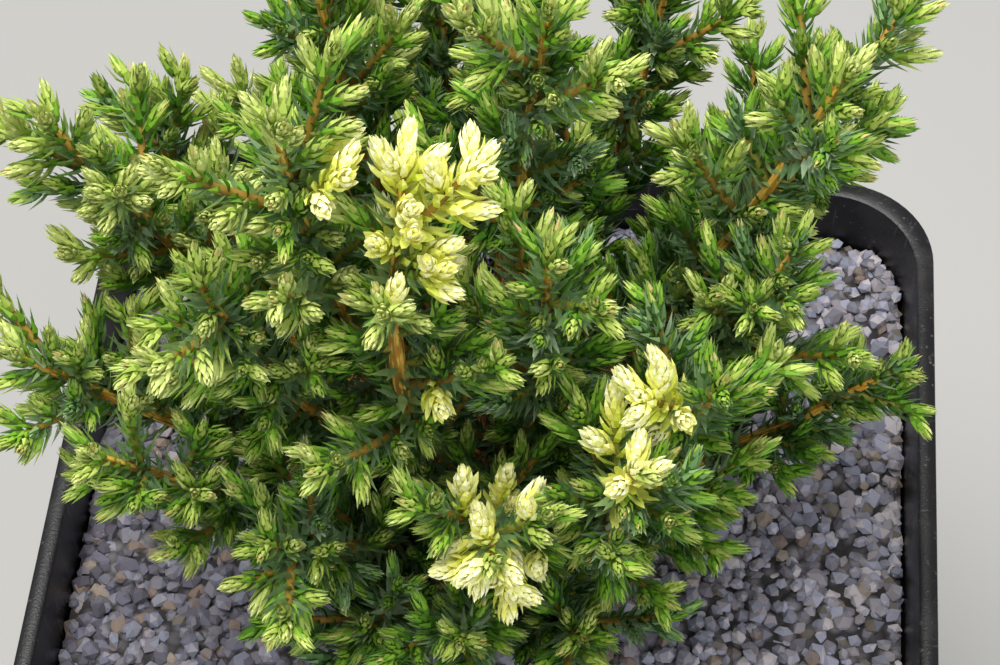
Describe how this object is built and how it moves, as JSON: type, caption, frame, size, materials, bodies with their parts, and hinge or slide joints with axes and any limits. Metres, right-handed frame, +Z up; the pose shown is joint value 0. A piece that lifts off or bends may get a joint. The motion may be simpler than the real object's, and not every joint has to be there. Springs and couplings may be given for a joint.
{
  "type": "potted dwarf conifer",
  "caption": "Young bushy dwarf conifer with prickly needles and cream-tipped sprays, in a square black plastic nursery pot topped with grit",
  "frame": {"origin": "centre of the flat underside of the pot", "axes": "+Z up the trunk, +X and +Y square to the pot's sides, -Y the front of the pictured view"},
  "size_m": [0.13, 0.13, 0.2484],
  "materials": {
    "pot": "charcoal black moulded plastic, satin",
    "compost": "damp dark brown peat-like compost",
    "grit": "washed grey, white and pinkish brown grit",
    "bark": "thin orange-brown flaking bark",
    "foliage_green": "mid green needles with pale bands and lime tips",
    "foliage_cream": "cream to lime variegated needles"
  },
  "bodies": {
    "root": {"pot": "pot", "compost": "compost", "grit": "grit", "trunk": "bark", "bough_right_low": "bark", "bough_right_mid": "bark", "bough_right_high": "bark", "bough_right_back": "bark", "bough_back_right_low": "bark", "bough_back_right": "bark", "bough_back_top": "bark", "bough_back": "bark", "bough_back_low": "bark", "bough_back_left": "bark", "bough_left_back": "bark", "bough_left_high": "bark", "bough_left_wide": "bark", "bough_left_low": "bark", "bough_left_front": "bark", "bough_left_top": "bark", "bough_front_left_low": "bark", "bough_low_front_left": "bark", "bough_low_front": "bark", "bough_front_top": "bark", "bough_front_fall": "bark", "bough_front_mid": "bark", "bough_front_right": "bark", "bough_low_front_right": "bark", "bough_right_front": "bark", "bough_right_front_low": "bark", "foliage_right_low": "foliage_green", "foliage_right_mid": "foliage_green", "foliage_right_high": "foliage_green", "foliage_right_back": "foliage_green", "foliage_back_right_low": "foliage_green", "foliage_back_right": "foliage_green", "foliage_back_top": "foliage_green", "foliage_back": "foliage_green", "foliage_back_low": "foliage_green", "foliage_back_left": "foliage_green", "foliage_left_back": "foliage_green", "foliage_left_high": "foliage_green", "foliage_left_wide": "foliage_green", "foliage_left_low": "foliage_green", "foliage_left_front": "foliage_green", "foliage_left_top": "foliage_green", "foliage_front_left_low": "foliage_green", "foliage_low_front_left": "foliage_green", "foliage_low_front": "foliage_green", "foliage_front_top": "foliage_cream", "foliage_front_fall": "foliage_cream", "foliage_front_mid": "foliage_green", "foliage_front_right": "foliage_cream", "foliage_low_front_right": "foliage_green", "foliage_right_front": "foliage_green", "foliage_right_front_low": "foliage_green", "foliage_leader": "foliage_green"}
  },
  "joints": []
}
